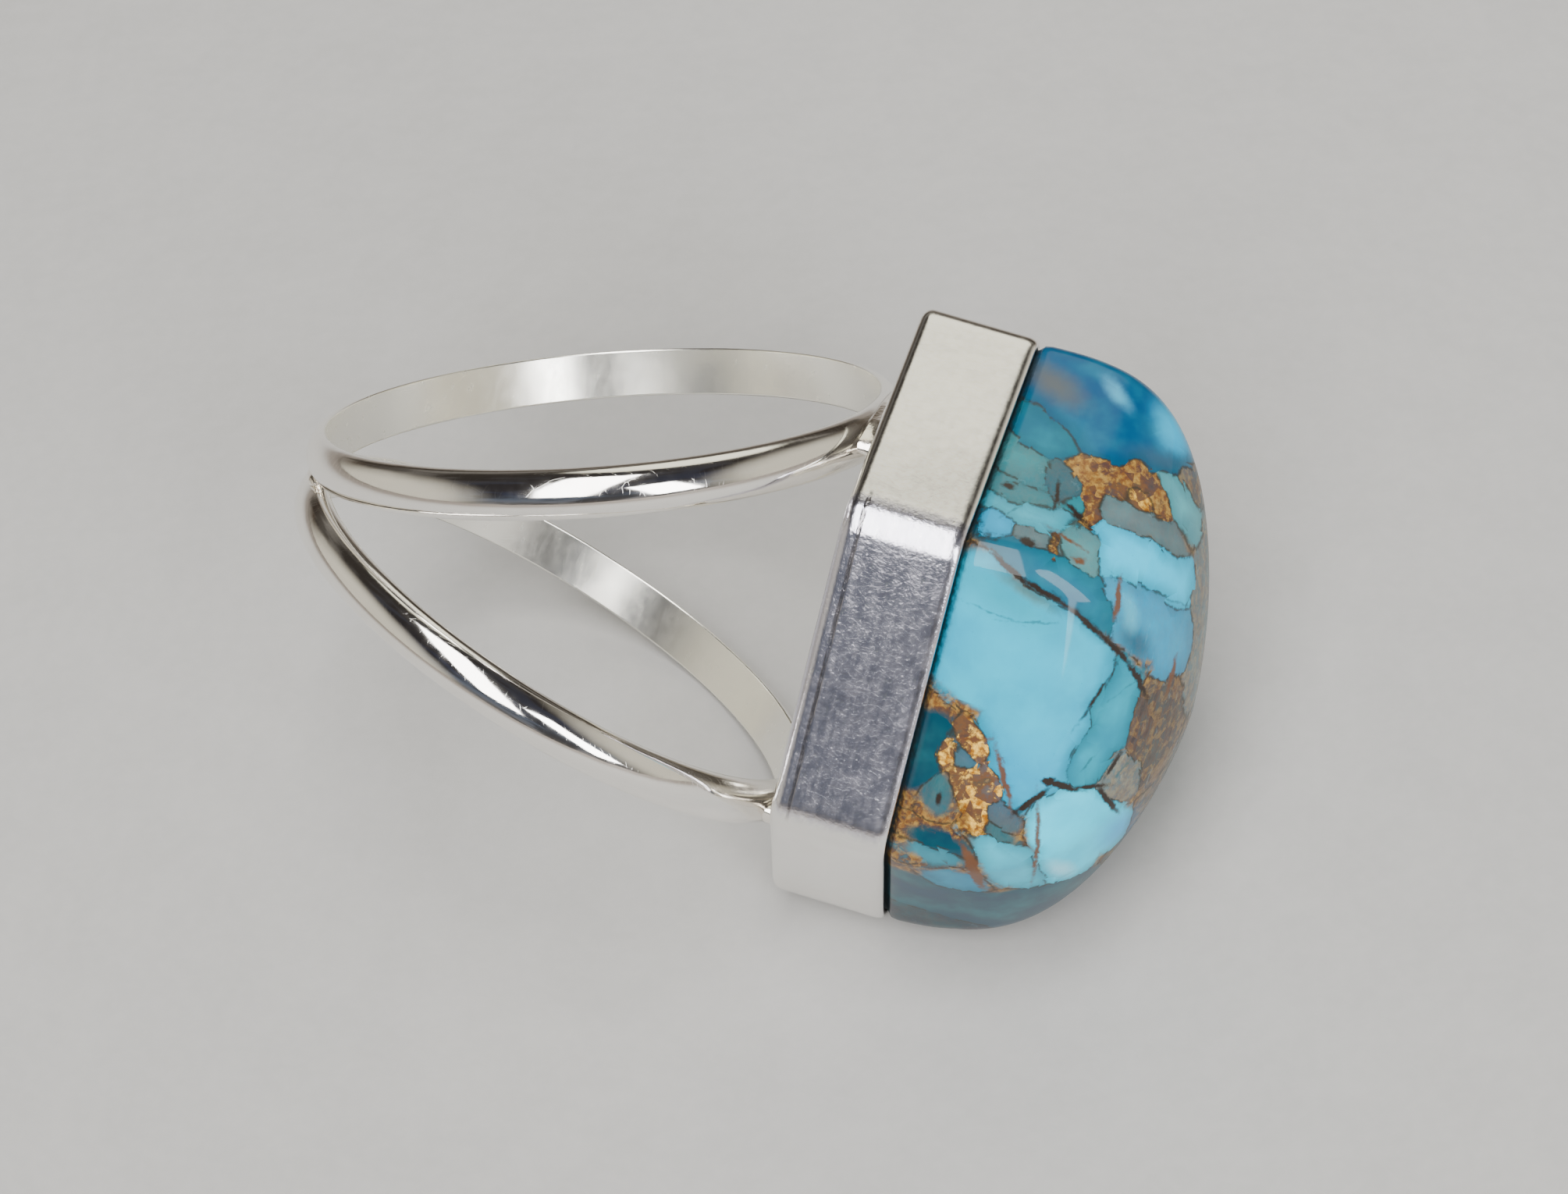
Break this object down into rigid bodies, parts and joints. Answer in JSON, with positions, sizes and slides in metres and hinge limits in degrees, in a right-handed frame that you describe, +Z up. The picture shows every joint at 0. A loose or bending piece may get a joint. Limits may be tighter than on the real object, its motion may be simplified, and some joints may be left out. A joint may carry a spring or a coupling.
{
  "type": "turquoise ring",
  "caption": "Finger ring with a split shank of half-round silver bands and a deep six-sided bezel that holds a tall turquoise cabochon.",
  "frame": {"origin": "centre of the bounding box's base, on the surface that the ring lies on", "axes": "+Z up from the surface, +X along the longest side, with the stone towards +X, and +Y away from the side that shows"},
  "size_m": [0.0282, 0.021, 0.0182],
  "materials": {
    "silver": "polished silver with fine wear, satin inside the bands",
    "turquoise": "polished blue turquoise with dark veins and copper-coloured matrix"
  },
  "bodies": {
    "root": {"silver_setting": "silver", "turquoise_stone": "turquoise"}
  },
  "joints": []
}
